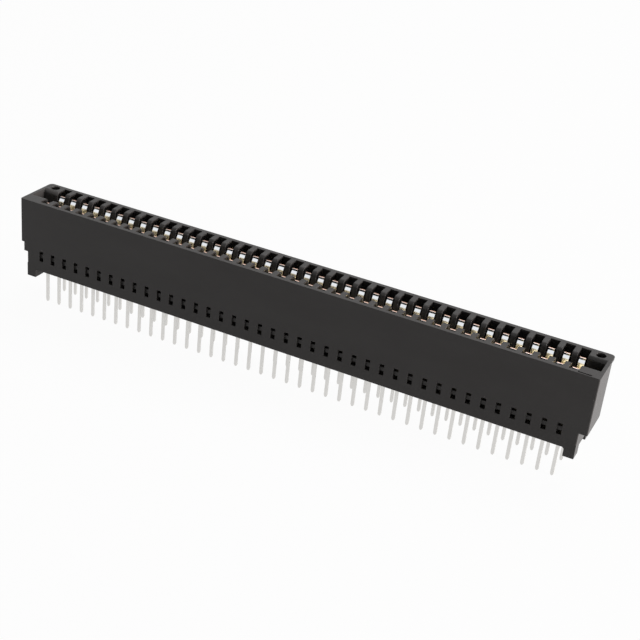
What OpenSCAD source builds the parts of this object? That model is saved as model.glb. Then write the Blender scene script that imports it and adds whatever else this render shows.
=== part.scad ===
// Card edge connector with two rows of formed spring contacts in one moulded housing.
// X runs along the rows, +Y is the rear side with the rounded corners, +Z is up.
// Z = 0 is the plane of the tail tips. All sizes are in millimetres.

/* [Rows of contacts] */
// Number of contacts in each of the two rows
positions = 40; // [6:1:58]
// Distance between neighbouring contacts of a row
pitch = 2.54; // [2.4:0.02:3.2]
// Distance between the tails of the front row and the rear row
row_gap = 5.08; // [4.8:0.02:5.4]

/* [Contact] */
// Thickness of the strip that the contacts are bent from
strip_t = 0.3; // [0.2:0.01:0.36]
// Width of the strip above its tail
strip_w = 1.05; // [0.95:0.01:1.36]
// Width of the solder tail
tail_w = 0.6; // [0.4:0.05:0.9]
// Width of the tail at its tip
tail_end_w = 0.3; // [0.1:0.05:0.4]
// Length of the solder tail below the seating plane
tail_len = 5.3; // [2.5:0.1:9]
// Height of the taper at the end of the tail
tail_taper = 0.35; // [0.1:0.05:0.8]
// Height of the plate's shoulders above the underside of the housing
shoulder_in = 0.3; // [0.1:0.05:0.5]
// Height of the plate above the floor of its cell
plate_rise = 0.5; // [0.2:0.05:1]
// Gap between the sharp corners that the two facing crowns are rounded from
crown_gap = 0.8; // [0.5:0.05:1.3]
// Depth of the crowns' corners below the top of the housing
crown_depth = 5; // [4.2:0.1:5.6]
// Bend radius of the crown, where the spring touches the card
crown_r = 1.8; // [0.8:0.1:2.2]
// Distance between the upper ends of two facing contacts
tip_gap = 3.9; // [3.4:0.1:4.6]
// Depth of the upper ends below the top of the housing
tip_depth = 0.7; // [0.4:0.05:0.9]
// Height of the upright end above the sloped lead-in
tip_h = 0.4; // [0.2:0.05:0.6]
// Height of the sloped lead-in
lead_h = 0.35; // [0.2:0.05:0.6]
// Distance that the lead-in leans towards the card
lead_lean = 0.33; // [0.1:0.01:0.5]

/* [Housing] */
// Front to rear width of the housing
body_w = 9; // [8.8:0.05:11]
// Height of the housing above the seating plane
body_h = 15; // [14:0.1:18]
// Distance from the middle of the last contact to the end of the housing
end_len = 4.47; // [4.2:0.01:8]
// Thickness of the two long walls beside the contact cells
wall_t = 0.75; // [0.5:0.05:1.1]
// Thickness of the ribs between the contact cells
rib_t = 0.9; // [0.7:0.02:1]
// Radius of the upright corners at the rear
rear_r = 2.2; // [1.4:0.1:2.6]
// Radius of the rear corners at the lip along the top
lip_r = 0.75; // [0.6:0.05:1.3]
// Height of the lip along the top
lip_h = 0.45; // [0.2:0.05:1]
// Radius of the upright corners at the front
front_r = 0.2; // [0.1:0.05:1]
// Distance that the ends of the lower body stand back
end_back = 1.35; // [1:0.05:2]
// Height of the end overhang above the seating plane
overhang_z = 4.8; // [4:0.1:6.5]
// Height of the relief under the left end
relief_h = 1.75; // [0.5:0.05:3]
// Depth of the relief under the left end
relief_in = 0.65; // [0.2:0.05:0.9]

/* [Feet] */
// Height of the four feet that stand on the board
foot_h = 1.55; // [0.8:0.05:2.5]
// Width of a foot along the row
foot_w = 1.8; // [1:0.05:1.9]
// Depth of a foot
foot_d = 2.3; // [1:0.05:3]
// Fillet between a foot and the underside
foot_r = 0.4; // [0.1:0.05:0.6]

/* [Card slot] */
// Width of the slot beside the card
slot_w = 1.9; // [1.6:0.05:2.2]
// Depth of the slot below the top of the housing
slot_depth = 8.4; // [7.6:0.1:8.8]
// Distance from the middle of the last contact to the end of the slot
slot_end = 2.2; // [1.9:0.05:2.4]
// Width of the slot's mouth below its rounded edges
mouth_w = 2.9; // [2.3:0.05:3.05]
// Radius of the rounded edges of the mouth
mouth_r = 0.7; // [0.3:0.05:0.75]
// Depth at which the mouth has narrowed to the slot
mouth_depth = 3.6; // [2.5:0.1:4.5]
// Wall left at the ends of the mouth
mouth_end = 0.6; // [0.4:0.05:1]
// Depth of the upright part of the mouth's ends
mouth_end_depth = 2.4; // [1.5:0.1:3]

/* [Openings] */
// Clearance around each contact where it passes through the housing
fit = 0.04; // [0.02:0.01:0.08]
// Height of the side windows' sill above the seating plane
window_z = 3.55; // [2.9:0.05:3.9]
// Height of a side window
window_h = 2; // [1.6:0.05:2.2]
// Width of a side window
window_w = 0.85; // [0.7:0.05:1]
// Height of the bridge across a side window
bridge_h = 0.75; // [0.4:0.05:0.95]
// Height of the bridge above the window's sill
bridge_up = 0.55; // [0.3:0.05:0.6]
// Depth of the bridge behind the outer face
bridge_in = 0.38; // [0.1:0.02:0.8]
// Diameter of the round hole in each end of the top
hole_d = 1.65; // [0.8:0.05:1.7]
// Depth of the round holes
hole_depth = 4; // [1:0.5:6]
// Distance of the round holes from the end of the housing
hole_in = 2; // [1.6:0.05:2.4]
// Distance of the round holes from the rear face
hole_back = 1.4; // [1.2:0.05:1.45]
// Width of the groove beside the right end of the slot
groove_w = 0.3; // [0.15:0.05:0.5]
// Depth of the groove
groove_depth = 0.5; // [0.2:0.05:1]
// Length of the groove
groove_l = 2.2; // [1:0.1:3]
// Distance of the groove from the front face
groove_back = 0.4; // [0.35:0.05:0.6]

/* [Hidden] */
$fn = 16;
// Sides of a whole turn on the mouth's rounded edge, which repeats at every rib
mouth_sides = 8;
// Largest turn between two neighbouring points of a bend, in degrees
bend_step = 45;
// A cut passes the face that it starts from by this much
over = 1;

// Levels, counted from the tail tips
seat_z = tail_len;
under_z = seat_z + foot_h;
top_z = seat_z + body_h;
step_z = seat_z + overhang_z;
floor_z = top_z - slot_depth;
sill_z = seat_z + window_z;

// Places along the rows and across them
last_x = (positions - 1) * pitch / 2;
half_l = last_x + end_len;
low_half_l = half_l - end_back;
cell_w = pitch - rib_t;
cell_y = body_w / 2 - wall_t;
row_y = row_gap / 2;

// Places on a contact
shoulder_z = under_z + shoulder_in;
tip_z = top_z - tip_depth;

PER_NODE = 2;
groups = ceil(positions / PER_NODE);
function row_name(row, g) = str(row, "_contacts_", g < 9 ? "0" : "", g + 1);

function contact_x(k) = k * pitch - last_x;
function unit(v) = v / norm(v);
function left_of(u) = [-u[1], u[0]];
function turned(v, a) = [v[0] * cos(a) - v[1] * sin(a), v[0] * sin(a) + v[1] * cos(a)];

// Points beside the corner at b of a strip's middle line a-b-c, s to the left of that line.
// A corner with no radius stays sharp.
function bend(a, b, c, r, s) =
    let (
        u = unit(b - a),
        v = unit(c - b),
        angle = atan2(cross(u, v), u * v),
        way = sign(angle),
        middle = b - u * r * tan(abs(angle) / 2) + left_of(u) * r * way,
        steps = ceil(abs(angle) / bend_step)
    )
    r == 0
        ? [b + s / cos(angle / 2) * unit(left_of(u + v))]
        : [for (i = [0 : steps]) middle + (s - way * r) * turned(left_of(u), angle * i / steps)];

function beside(path, radii, s) = concat(
    [path[0] + s * left_of(unit(path[1] - path[0]))],
    [for (i = [1 : len(path) - 2]) each bend(path[i - 1], path[i], path[i + 1], radii[i - 1], s)],
    [path[len(path) - 1] + s * left_of(unit(path[len(path) - 1] - path[len(path) - 2]))]
);
function backwards(list) = [for (i = [len(list) - 1 : -1 : 0]) list[i]];

// Outline of a bent strip from its middle line
module strip_outline(path, radii) {
    polygon(concat(
        beside(path, radii, strip_t / 2),
        backwards(beside(path, radii, -strip_t / 2))
    ));
}

// Sweeps a side view, drawn in Y and Z, along X about the middle
module along_x(width) {
    rotate([90, 0, 90])
        linear_extrude(width, center = true)
            children();
}

// Sweeps a front view, drawn in X and Z, along Y about the middle
module along_y(width) {
    rotate([90, 0, 0])
        linear_extrude(width, center = true)
            children();
}

// Tail, plate and bowed spring seen from the side
module spring_side() {
    crown_y = (crown_gap + strip_t) / 2;
    tip_y = tip_gap / 2;
    lead_z = tip_z - tip_h;
    strip_outline(
        [
            [row_y, 0],
            [row_y, floor_z + plate_rise],
            [crown_y, top_z - crown_depth],
            [tip_y - lead_lean, lead_z - lead_h],
            [tip_y, lead_z],
            [tip_y, tip_z]
        ],
        [0, crown_r, 0, 0]
    );
}

// Tail, plate and spring seen from the front
module spring_front() {
    end = tail_end_w / 2;
    tail = tail_w / 2;
    plate = strip_w / 2;
    polygon([
        [-end, 0],
        [end, 0],
        [tail, tail_taper],
        [tail, shoulder_z],
        [plate, shoulder_z + plate - tail],
        [plate, tip_z],
        [-plate, tip_z],
        [-plate, shoulder_z + plate - tail],
        [-tail, shoulder_z],
        [-tail, tail_taper]
    ]);
}

// One contact of the rear row
module contact() {
    intersection() {
        along_x(strip_w + over)
            spring_side();
        along_y(body_w)
            spring_front();
    }
}

module contact_group(g, rear) {
    first = g * PER_NODE;
    last = min(first + PER_NODE, positions) - 1;
    color("gold")
        for (k = [first : last])
            translate([contact_x(k), 0, 0])
                mirror([0, rear ? 0 : 1, 0])
                    contact();
}

// Plan of a block with its own radius at the two rear corners
module plan(half, rear) {
    depth = body_w / 2;
    difference() {
        translate([-half, -depth])
            square([2 * half, body_w]);
        for (side = [-1, 1]) {
            corner_cut(side * half, depth, side, 1, rear);
            corner_cut(side * half, -depth, side, -1, front_r);
        }
    }
}

// What a rounded corner leaves out of a square one
module corner_cut(x, y, side_x, side_y, r) {
    translate([x, y])
        scale([side_x, side_y])
            difference() {
                translate([-r, -r])
                    square(r + over);
                translate([-r, -r])
                    circle(r);
            }
}

module foot(side_x, side_y) {
    edge = body_w / 2;
    translate([side_x * low_half_l, side_y * (edge - foot_d / 2), 0])
        mirror([side_x > 0 ? 1 : 0, 0, 0])
            along_y(foot_d) {
                translate([0, seat_z])
                    square([foot_w, foot_h + over]);
                translate([foot_w, under_z - foot_r])
                    difference() {
                        square([foot_r, foot_r + over]);
                        translate([foot_r, 0])
                            circle(foot_r);
                    }
            }
}

module shell() {
    translate([0, 0, step_z])
        linear_extrude(body_h - overhang_z - lip_h)
            plan(half_l, rear_r);
    translate([0, 0, top_z - lip_h])
        linear_extrude(lip_h)
            plan(half_l, lip_r);
    translate([0, 0, under_z])
        linear_extrude(step_z - under_z)
            plan(low_half_l, lip_r);
    for (side_x = [-1, 1])
        for (side_y = [-1, 1])
            foot(side_x, side_y);
}

// Slot and mouth seen from the end
module slot_side() {
    mouth = mouth_w / 2;
    polygon([
        [-slot_w / 2, floor_z],
        [slot_w / 2, floor_z],
        [slot_w / 2, top_z - mouth_depth],
        [mouth, top_z - mouth_r],
        [-mouth, top_z - mouth_r],
        [-slot_w / 2, top_z - mouth_depth]
    ]);
    difference() {
        translate([-mouth - mouth_r, top_z - mouth_r])
            square([mouth_w + 2 * mouth_r, mouth_r + over]);
        for (side = [-1, 1])
            translate([side * (mouth + mouth_r), top_z - mouth_r])
                circle(mouth_r, $fn = mouth_sides);
    }
}

// Slot and mouth seen from the front
module slot_front() {
    slot = last_x + slot_end;
    mouth = half_l - mouth_end;
    polygon([
        [-slot, floor_z - over],
        [slot, floor_z - over],
        [slot, top_z - mouth_end_depth - (mouth - slot)],
        [mouth, top_z - mouth_end_depth],
        [mouth, top_z + over],
        [-mouth, top_z + over],
        [-mouth, top_z - mouth_end_depth],
        [-slot, top_z - mouth_end_depth - (mouth - slot)]
    ]);
}

module slot_cut() {
    intersection() {
        along_x(2 * half_l)
            slot_side();
        along_y(body_w)
            slot_front();
    }
}

// The two cells of one position, the ways of their contacts and their windows
module position_cut() {
    way_w = strip_w + 2 * fit;
    way_t = strip_t + 2 * fit;
    translate([-cell_w / 2, -cell_y, floor_z])
        cube([cell_w, 2 * cell_y, slot_depth + over]);
    for (side = [0, 1])
        mirror([0, side, 0]) {
            translate([-way_w / 2, row_y - way_t / 2, under_z - over])
                cube([way_w, way_t, floor_z - under_z + 2 * over]);
            along_x(window_w)
                window_side();
        }
}

// Window seen from the end, with the bridge that divides it behind the outer face
module window_side() {
    outside = body_w / 2 + over;
    bridge_y = body_w / 2 - bridge_in;
    bridge_z = sill_z + bridge_up;
    polygon([
        [row_y, sill_z],
        [outside, sill_z],
        [outside, sill_z + window_h],
        [row_y, sill_z + window_h],
        [row_y, bridge_z + bridge_h],
        [bridge_y, bridge_z + bridge_h],
        [bridge_y, bridge_z],
        [row_y, bridge_z]
    ]);
}

module groove_cut() {
    translate([
        last_x + cell_w / 2,
        groove_back - groove_w / 2 - body_w / 2,
        top_z - groove_depth
    ])
        cube([groove_l, groove_w, groove_depth + over]);
}

module relief_cut() {
    translate([-half_l - over, -body_w / 2 - over, step_z - over])
        cube([relief_in + over, body_w + 2 * over, relief_h + over]);
}

module hole_cut(side) {
    translate([side * (half_l - hole_in), body_w / 2 - hole_back, top_z - hole_depth])
        cylinder(h = hole_depth + over, d = hole_d);
}

module housing() {
    color("dimgray")
        difference() {
            shell();
            slot_cut();
            for (k = [0 : positions - 1])
                translate([contact_x(k), 0, 0])
                    position_cut();
            for (side = [-1, 1])
                hole_cut(side);
            groove_cut();
            relief_cut();
        }
}

housing();
for (g = [0 : groups - 1]) {
    contact_group(g, false);
    contact_group(g, true);
}
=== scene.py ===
"""Looks of a card edge connector: charcoal moulded housing, plated spring contacts, white studio."""

import math

import bmesh
import bpy
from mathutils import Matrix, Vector


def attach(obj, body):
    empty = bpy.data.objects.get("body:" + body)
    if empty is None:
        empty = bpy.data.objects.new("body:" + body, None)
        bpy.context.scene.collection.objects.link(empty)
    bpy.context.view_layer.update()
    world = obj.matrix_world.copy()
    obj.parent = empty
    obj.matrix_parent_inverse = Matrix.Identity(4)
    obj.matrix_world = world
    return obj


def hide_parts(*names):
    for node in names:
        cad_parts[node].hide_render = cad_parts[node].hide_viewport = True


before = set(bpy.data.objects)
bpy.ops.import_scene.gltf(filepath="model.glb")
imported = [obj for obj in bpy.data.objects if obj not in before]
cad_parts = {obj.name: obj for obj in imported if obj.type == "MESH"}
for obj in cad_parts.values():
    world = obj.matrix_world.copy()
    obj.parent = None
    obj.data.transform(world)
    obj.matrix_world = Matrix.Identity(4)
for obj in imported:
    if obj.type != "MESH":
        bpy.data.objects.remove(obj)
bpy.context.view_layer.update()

MM = 0.001

# Camera, fitted to the photograph
CAMERA_AT = (0.081885, -0.175188, 0.113918)
CAMERA_TURN = (61.9492, -5.5616, 26.5978)
CAMERA_LENS = 71.809
CAMERA_SENSOR = 36.0

# Rows of contacts
POSITIONS = 40
PITCH = 2.54 * MM
PER_NODE = 2

# Heights in the shared frame
SEAT_Z = 5.3 * MM
UNDER_Z = SEAT_Z + 1.55 * MM
TOP_Z = SEAT_Z + 15.0 * MM
FLOOR_Z = TOP_Z - 8.4 * MM

# Rounded edge of the card slot's mouth, and the small radius of all moulded edges
MOUTH_R = 0.7 * MM
MOUTH_Y = 1.45 * MM + MOUTH_R
MOUTH_Z = TOP_Z - MOUTH_R
MOUTH_CUTS = 8
MOULD_R = 0.07 * MM
SAME = 0.001 * MM

# Side view of a contact: middle line and bend radii
STRIP_T = 0.3 * MM
ROW_Y = 2.54 * MM
CROWN_Y = 0.55 * MM
TIP_Y = 1.95 * MM
PLATE_Z = FLOOR_Z + 0.5 * MM
CROWN_Z = TOP_Z - 5.0 * MM
TIP_Z = TOP_Z - 0.7 * MM
LEAD_Z = TIP_Z - 0.4 * MM
LEAD_LEAN = 0.33 * MM
LEAD_H = 0.35 * MM
PLATE_R = 0.5 * MM
CROWN_R = 1.8 * MM
LEAD_R = 1.5 * MM
TIP_R = 0.18 * MM
BEND_STEP = math.radians(6)
STRAIGHT_STEP = 1.2 * MM

# Front view of a contact
STRIP_W = 1.05 * MM
TAIL_W = 0.6 * MM
TAIL_END_W = 0.3 * MM
TAIL_TAPER = 0.35 * MM
SHOULDER_Z = UNDER_Z + 0.3 * MM
EDGE_R = 0.035 * MM
CORNER_STEPS = 3
AROUND = 4 * CORNER_STEPS

# Looks of the housing
PLASTIC_DARK = (0.034, 0.031, 0.030)
PLASTIC_LIGHT = (0.041, 0.038, 0.037)
PLASTIC_ROUGH = (0.34, 0.44)
PLASTIC_IOR = 1.34
GRAIN_DEPTH = 0.02 * MM
SHADED_EDGE_R = 0.12 * MM

# Looks of the contacts: plating by height, bare metal on the cut faces
TIN_DARK = (0.62, 0.61, 0.59)
TIN_LIGHT = (0.74, 0.73, 0.71)
GOLD_DARK = (0.92, 0.79, 0.52)
GOLD_LIGHT = (0.98, 0.87, 0.62)
NICKEL_DARK = (0.72, 0.76, 0.80)
NICKEL_LIGHT = (0.85, 0.87, 0.90)
COPPER_DARK = (0.64, 0.39, 0.28)
COPPER_LIGHT = (0.76, 0.50, 0.38)
PLATED_ROUGH = (0.12, 0.2)
TIN_ROUGHER = 0.12
GOLD_ROUGHER = 0.12
CUT_ROUGHER = 0.22
CUT_FACING = 0.9

# Studio
SURROUND_LEVEL = 0.07
LAMP_AIM = (0, 0, 0.012)
SIDE_LAMP_AT = (0.98, 0.06, 0.12)
SIDE_LAMP_SIZE = (0.45, 0.3)
SIDE_LAMP_WATTS = 26.0
SIDE_LAMP_COLOR = (1.0, 0.96, 0.94)
TOP_LAMP_AT = (0.1, 0.45, 0.85)
TOP_LAMP_SIZE = (0.6, 0.6)
TOP_LAMP_WATTS = 3.6
FLOOR_HALF = 2.0
FLOOR_DROP = 0.02 * MM
FLOOR_WHITE_SHARE = 0.96


def set_camera():
    data = bpy.data.cameras.new("camera")
    data.sensor_fit = "HORIZONTAL"
    data.sensor_width = CAMERA_SENSOR
    data.lens = CAMERA_LENS
    data.clip_start = 0.005
    data.clip_end = 20
    camera = bpy.data.objects.new("camera", data)
    bpy.context.scene.collection.objects.link(camera)
    camera.location = CAMERA_AT
    camera.rotation_euler = [math.radians(a) for a in CAMERA_TURN]
    bpy.context.scene.camera = camera


def area_lamp(name, at, aim, size, watts, color=(1, 1, 1)):
    data = bpy.data.lights.new(name, "AREA")
    data.shape = "RECTANGLE"
    data.size, data.size_y = size
    data.energy = watts
    data.color = color
    lamp = bpy.data.objects.new(name, data)
    bpy.context.scene.collection.objects.link(lamp)
    lamp.location = at
    lamp.rotation_euler = (Vector(aim) - Vector(at)).to_track_quat("-Z", "Y").to_euler()
    return lamp


class Nodes:
    """Short ways to build a node tree."""

    def __init__(self, tree):
        self.tree = tree
        self.tree.nodes.clear()

    def add(self, kind, inputs=None, **values):
        node = self.tree.nodes.new(kind)
        for key, value in values.items():
            setattr(node, key, value)
        for key, value in (inputs or {}).items():
            socket = node.inputs[key]
            if isinstance(value, bpy.types.NodeSocket):
                self.tree.links.new(value, socket)
            else:
                socket.default_value = value
        return node

    def math(self, operation, a, b=0.0, c=0.0):
        node = self.tree.nodes.new("ShaderNodeMath")
        node.operation = operation
        for socket, value in zip(node.inputs, (a, b, c)):
            if isinstance(value, bpy.types.NodeSocket):
                self.tree.links.new(value, socket)
            else:
                socket.default_value = value
        return node.outputs[0]

    def mix_color(self, factor, a, b, blend="MIX"):
        node = self.tree.nodes.new("ShaderNodeMix")
        node.data_type = "RGBA"
        node.blend_type = blend
        for name, value in (("Factor_Float", factor), ("A_Color", a), ("B_Color", b)):
            socket = next(s for s in node.inputs if s.identifier == name)
            if isinstance(value, bpy.types.NodeSocket):
                self.tree.links.new(value, socket)
            elif name == "Factor_Float":
                socket.default_value = value
            else:
                socket.default_value = (*value, 1.0)
        return next(s for s in node.outputs if s.identifier == "Result_Color")

    def ramp(self, value, low, high, from_low, from_high):
        node = self.add(
            "ShaderNodeMapRange",
            {0: value, 1: from_low, 2: from_high, 3: low, 4: high},
        )
        node.clamp = True
        return node.outputs[0]


def new_material(name):
    material = bpy.data.materials.new(name)
    material.use_nodes = True
    return material, Nodes(material.node_tree)


def housing_material():
    material, n = new_material("housing_plastic")
    place = n.add("ShaderNodeTexCoord").outputs["Object"]
    grain = n.add("ShaderNodeTexNoise", {"Vector": place, "Scale": 5000.0, "Detail": 3.0, "Roughness": 0.6})
    flow_place = n.add("ShaderNodeMapping", {"Vector": place, "Scale": (0.25, 1.0, 0.6)}).outputs[0]
    flow = n.add("ShaderNodeTexNoise", {
        "Vector": flow_place,
        "Scale": 260.0,
        "Detail": 4.0,
        "Roughness": 0.55,
    })
    color = n.mix_color(n.ramp(flow.outputs["Fac"], 0.0, 1.0, 0.3, 0.7), PLASTIC_DARK, PLASTIC_LIGHT)
    rough = n.ramp(grain.outputs["Fac"], *PLASTIC_ROUGH, 0.3, 0.7)
    round_edge = n.add("ShaderNodeBevel", {"Radius": SHADED_EDGE_R}, samples=6)
    bump = n.add("ShaderNodeBump", {
        "Strength": 0.25,
        "Distance": GRAIN_DEPTH,
        "Height": grain.outputs["Fac"],
        "Normal": round_edge.outputs[0],
    })
    shader = n.add("ShaderNodeBsdfPrincipled", {
        "Base Color": color,
        "Roughness": rough,
        "IOR": PLASTIC_IOR,
        "Normal": bump.outputs[0],
    })
    n.add("ShaderNodeOutputMaterial", {"Surface": shader.outputs[0]})
    return material


def contact_material():
    material, n = new_material("contact_plating")
    place = n.add("ShaderNodeTexCoord").outputs["Object"]
    height = n.add("ShaderNodeSeparateXYZ", {"Vector": place}).outputs["Z"]
    normal = n.add("ShaderNodeNewGeometry").outputs["True Normal"]
    facing = n.add("ShaderNodeSeparateXYZ", {"Vector": normal})
    streaks_place = n.add("ShaderNodeMapping", {"Vector": place, "Scale": (6.0, 6.0, 1.0)}).outputs[0]
    streaks = n.add("ShaderNodeTexNoise", {
        "Vector": streaks_place,
        "Scale": 900.0,
        "Detail": 3.0,
        "Roughness": 0.6,
    })
    fac = streaks.outputs["Fac"]
    tin = n.mix_color(fac, TIN_DARK, TIN_LIGHT)
    gold = n.mix_color(fac, GOLD_DARK, GOLD_LIGHT)
    nickel = n.mix_color(fac, NICKEL_DARK, NICKEL_LIGHT)
    copper = n.mix_color(fac, COPPER_DARK, COPPER_LIGHT)
    to_gold = n.ramp(height, 0.0, 1.0, SEAT_Z + 1.5 * MM, SEAT_Z + 2.5 * MM)
    to_nickel = n.ramp(height, 0.0, 1.0, LEAD_Z - LEAD_H - 0.15 * MM, LEAD_Z - LEAD_H + 0.05 * MM)
    face = n.mix_color(to_nickel, n.mix_color(to_gold, tin, gold), nickel)
    side = n.math("GREATER_THAN", n.math("ABSOLUTE", facing.outputs["X"]), CUT_FACING)
    tip = n.math("GREATER_THAN", facing.outputs["Z"], CUT_FACING)
    cut = n.math("MULTIPLY", n.math("MAXIMUM", side, tip), to_gold)
    color = n.mix_color(cut, face, copper)
    plated_rough = n.ramp(fac, *PLATED_ROUGH, 0.3, 0.7)
    tin_rough = n.math("MULTIPLY", n.math("SUBTRACT", 1.0, to_gold), TIN_ROUGHER)
    gold_rough = n.math("MULTIPLY", n.math("SUBTRACT", 1.0, to_nickel), GOLD_ROUGHER)
    cut_rough = n.math("MULTIPLY", cut, CUT_ROUGHER)
    rough = n.math("ADD", n.math("ADD", plated_rough, gold_rough), n.math("ADD", tin_rough, cut_rough))
    shader = n.add("ShaderNodeBsdfPrincipled", {
        "Base Color": color,
        "Metallic": 1.0,
        "Roughness": rough,
    })
    n.add("ShaderNodeOutputMaterial", {"Surface": shader.outputs[0]})
    return material


def bend_points(a, b, c, radius):
    """Points of the middle line, with directions, round the bend at b."""
    u = (b - a).normalized()
    v = (c - b).normalized()
    angle = math.atan2(u.x * v.y - u.y * v.x, u.dot(v))
    reach = radius * math.tan(abs(angle) / 2)
    left = Vector((-u.y, u.x))
    middle = b - u * reach + left * radius * math.copysign(1, angle)
    steps = max(2, math.ceil(abs(angle) / BEND_STEP))
    points = []
    for i in range(steps + 1):
        turn = angle * i / steps
        cos = math.cos(turn)
        sin = math.sin(turn)
        way = Vector((u.x * cos - u.y * sin, u.x * sin + u.y * cos))
        out = Vector((way.y, -way.x)) * radius * math.copysign(1, angle)
        points.append((middle + out, way))
    return points


def middle_line():
    """Stations of the strip from the tail's tip to the upper end: place and direction in Y and Z."""
    corners = [
        Vector((ROW_Y, 0)),
        Vector((ROW_Y, PLATE_Z)),
        Vector((CROWN_Y, CROWN_Z)),
        Vector((TIP_Y - LEAD_LEAN, LEAD_Z - LEAD_H)),
        Vector((TIP_Y, LEAD_Z)),
        Vector((TIP_Y, TIP_Z)),
    ]
    radii = [PLATE_R, CROWN_R, LEAD_R, TIP_R]
    up = Vector((0, 1))
    tail_levels = [0, TAIL_TAPER, SEAT_Z, SHOULDER_Z, SHOULDER_Z + (STRIP_W - TAIL_W) / 2, FLOOR_Z]
    stations = [(Vector((ROW_Y, z)), up) for z in tail_levels]
    for i, radius in enumerate(radii):
        stations += bend_points(*corners[i : i + 3], radius)
    stations.append((corners[-1] - up * EDGE_R, up))
    return with_straights(stations)


def with_straights(stations):
    """Adds stations on the long straight parts."""
    full = [stations[0]]
    for (a, way_a), (b, way_b) in zip(stations, stations[1:]):
        pieces = math.ceil((b - a).length / STRAIGHT_STEP)
        for i in range(1, pieces):
            full.append((a.lerp(b, i / pieces), way_a.lerp(way_b, i / pieces).normalized()))
        full.append((b, way_b))
    return full


def half_width(z):
    tail = TAIL_W / 2
    plate = STRIP_W / 2
    if z < TAIL_TAPER:
        return TAIL_END_W / 2 + (tail - TAIL_END_W / 2) * z / TAIL_TAPER
    if z < SHOULDER_Z:
        return tail
    return min(plate, tail + z - SHOULDER_Z)


def ring(half_w, half_t):
    """Rounded rectangle across the strip: place and outward direction of each point."""
    points = []
    for quarter in range(4):
        sx = (1, -1, -1, 1)[quarter]
        sy = (1, 1, -1, -1)[quarter]
        for step in range(CORNER_STEPS):
            angle = math.radians(90 * (quarter + step / (CORNER_STEPS - 1)))
            out = Vector((math.cos(angle), math.sin(angle)))
            across = sx * (half_w - EDGE_R) + out.x * EDGE_R
            through = sy * (half_t - EDGE_R) + out.y * EDGE_R
            points.append((across, through, out))
    return points


def add_ring(verts, normals, place, way, half_w, half_t, lean=0):
    """One ring of points at a station; at an end of the strip its directions lean along it."""
    side = Vector((1, 0, 0))
    across = Vector((0, way.y, -way.x))
    along = Vector((0, way.x, way.y))
    centre = Vector((0, place.x, place.y))
    for a, b, out in ring(half_w, half_t):
        verts.append(centre + side * a + across * b)
        normals.append(along * lean if lean else side * out.x + across * out.y)


def strip_shape():
    """Points, directions and faces of one contact of the rear row, at X = 0."""
    verts = []
    normals = []
    stations = middle_line()
    half_t = STRIP_T / 2
    first, way = stations[0]
    add_ring(verts, normals, first, way, half_width(0) - EDGE_R, half_t - EDGE_R, -1)
    stations[0] = (first + way * EDGE_R, way)
    for place, way in stations:
        add_ring(verts, normals, place, way, half_width(place.y), half_t)
    last, way = stations[-1]
    add_ring(verts, normals, last + way * EDGE_R, way, half_width(TIP_Z) - EDGE_R, half_t - EDGE_R, 1)
    rings = len(verts) // AROUND
    faces = [tuple(reversed(range(AROUND))), tuple(range((rings - 1) * AROUND, rings * AROUND))]
    for start in range(0, (rings - 1) * AROUND, AROUND):
        for i in range(AROUND):
            j = (i + 1) % AROUND
            faces.append((start + i, start + j, start + AROUND + j, start + AROUND + i))
    return verts, normals, faces


def contact_x(k):
    return k * PITCH - (POSITIONS - 1) * PITCH / 2


def contact_pair(name, first, rear, shape, material):
    """The contacts of one node in one mesh, each in its place in the shared frame."""
    verts = []
    normals = []
    faces = []
    flip = 1 if rear else -1
    for k in range(first, min(first + PER_NODE, POSITIONS)):
        start = len(verts)
        verts += [Vector((v.x + contact_x(k), flip * v.y, v.z)) for v in shape[0]]
        normals += [Vector((v.x, flip * v.y, v.z)) for v in shape[1]]
        for face in shape[2]:
            corners = [start + i for i in face]
            faces.append(corners if rear else corners[::-1])
    mesh = bpy.data.meshes.new(name)
    mesh.from_pydata(verts, [], faces)
    mesh.polygons.foreach_set("use_smooth", [True] * len(mesh.polygons))
    mesh.normals_split_custom_set_from_vertices(normals)
    mesh.materials.append(material)
    strip = bpy.data.objects.new(name, mesh)
    bpy.context.scene.collection.objects.link(strip)
    return strip


def shown_to_lens(n):
    """1 for rays from the lens, from mirrors and through glass, 0 for light on the object."""
    path = n.add("ShaderNodeLightPath")
    seen = n.math("MAXIMUM", path.outputs["Is Camera Ray"], path.outputs["Is Glossy Ray"])
    return n.math("MAXIMUM", seen, path.outputs["Is Transmission Ray"])


def set_world(level):
    world = bpy.data.worlds.new("studio")
    bpy.context.scene.world = world
    world.use_nodes = True
    n = Nodes(world.node_tree)
    soft = n.add("ShaderNodeBackground", {"Color": (1, 1, 1, 1), "Strength": level})
    white = n.add("ShaderNodeBackground", {"Color": (1, 1, 1, 1), "Strength": 1.0})
    mixed = n.add("ShaderNodeMixShader", {0: shown_to_lens(n), 1: soft.outputs[0], 2: white.outputs[0]})
    n.add("ShaderNodeOutputWorld", {"Surface": mixed.outputs[0]})


def floor_material(white_share):
    material, n = new_material("floor_paper")
    place = n.add("ShaderNodeTexCoord").outputs["Object"]
    tone = n.add("ShaderNodeTexNoise", {"Vector": place, "Scale": 40.0, "Detail": 2.0})
    color = n.mix_color(tone.outputs["Fac"], (0.80, 0.80, 0.80), (0.82, 0.82, 0.82))
    paper = n.add("ShaderNodeBsdfDiffuse", {"Color": color})
    white = n.add("ShaderNodeEmission", {"Color": (1, 1, 1, 1), "Strength": 1.0})
    share = n.math("MULTIPLY", shown_to_lens(n), white_share)
    mixed = n.add("ShaderNodeMixShader", {0: share, 1: paper.outputs[0], 2: white.outputs[0]})
    n.add("ShaderNodeOutputMaterial", {"Surface": mixed.outputs[0]})
    return material


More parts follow.
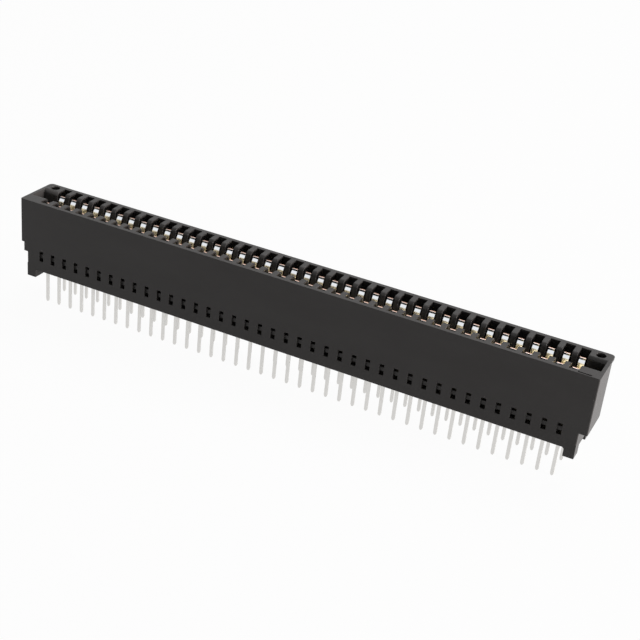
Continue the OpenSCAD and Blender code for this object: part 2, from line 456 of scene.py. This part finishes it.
def make_floor():
    half = FLOOR_HALF
    corners = [(-half, -half, 0), (half, -half, 0), (half, half, 0), (-half, half, 0)]
    mesh = bpy.data.meshes.new("floor")
    mesh.from_pydata(corners, [], [(0, 1, 2, 3)])
    floor = bpy.data.objects.new("floor", mesh)
    bpy.context.scene.collection.objects.link(floor)
    floor.location = (0, 0, -FLOOR_DROP)
    mesh.materials.append(floor_material(FLOOR_WHITE_SHARE))


def in_mouth(point):
    """True on the rounded edge of the mouth."""
    return abs(point.y) < MOUTH_Y + SAME and point.z > MOUTH_Z - SAME


def round_mouth(shape):
    """Cuts the facets of the mouth's rounded edges finer and moves the cuts out to the true radius."""
    for side in (-1, 1):
        centre = Vector((0, side * MOUTH_Y, MOUTH_Z))
        for step in range(1, MOUTH_CUTS):
            angle = math.radians(90) * step / MOUTH_CUTS
            faces = [f for f in shape.faces if all(in_mouth(v.co) and v.co.y * side > 0 for v in f.verts)]
            faces = [f for f in faces if abs(f.normal.x) < 0.5]
            edges = {e for f in faces for e in f.edges}
            verts = {v for f in faces for v in f.verts}
            across = Vector((0, side * math.sin(angle), math.cos(angle)))
            geometry = faces + list(edges) + list(verts)
            bmesh.ops.bisect_plane(shape, geom=geometry, dist=SAME, plane_co=centre, plane_no=across)
        for vert in shape.verts:
            if in_mouth(vert.co) and vert.co.y * side > 0:
                out = Vector((0, vert.co.y, vert.co.z)) - centre
                if out.length > MOUTH_R / 2:
                    out = centre + out.normalized() * MOUTH_R
                    vert.co.y = out.y
                    vert.co.z = out.z


def make_housing():
    """The moulded housing: the CAD solid with true rounds at the mouth and small radii on its edges."""
    shape = bmesh.new()
    shape.from_mesh(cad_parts["housing"].data)
    bmesh.ops.remove_doubles(shape, verts=shape.verts, dist=SAME)
    bmesh.ops.dissolve_limit(shape, angle_limit=math.radians(0.5), verts=shape.verts, edges=shape.edges)
    round_mouth(shape)
    mesh = bpy.data.meshes.new("moulded_housing")
    shape.to_mesh(mesh)
    shape.free()
    mesh.materials.clear()
    mesh.materials.append(housing_material())
    mesh.polygons.foreach_set("use_smooth", [True] * len(mesh.polygons))
    mesh.set_sharp_from_angle(angle=math.radians(30))
    housing = bpy.data.objects.new("moulded_housing", mesh)
    bpy.context.scene.collection.objects.link(housing)
    soften = housing.modifiers.new("mould_radii", "BEVEL")
    soften.width = MOULD_R
    soften.segments = 2
    soften.limit_method = "ANGLE"
    soften.angle_limit = math.radians(40)
    soften.harden_normals = True
    weigh = housing.modifiers.new("flat_faces", "WEIGHTED_NORMAL")
    weigh.keep_sharp = True
    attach(housing, "root")
    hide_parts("housing")


def make_contacts():
    plating = contact_material()
    shape = strip_shape()
    for row in ("front", "rear"):
        for group in range(math.ceil(POSITIONS / PER_NODE)):
            name = f"{row}_contacts_{group + 1:02d}"
            strip = contact_pair("plated_" + name, group * PER_NODE, row == "rear", shape, plating)
            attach(strip, "root")
            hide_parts(name)


bpy.context.scene.view_settings.view_transform = "Standard"
set_camera()
set_world(SURROUND_LEVEL)
area_lamp("side", SIDE_LAMP_AT, LAMP_AIM, SIDE_LAMP_SIZE, SIDE_LAMP_WATTS, SIDE_LAMP_COLOR)
area_lamp("top", TOP_LAMP_AT, LAMP_AIM, TOP_LAMP_SIZE, TOP_LAMP_WATTS)
make_floor()
make_housing()
make_contacts()
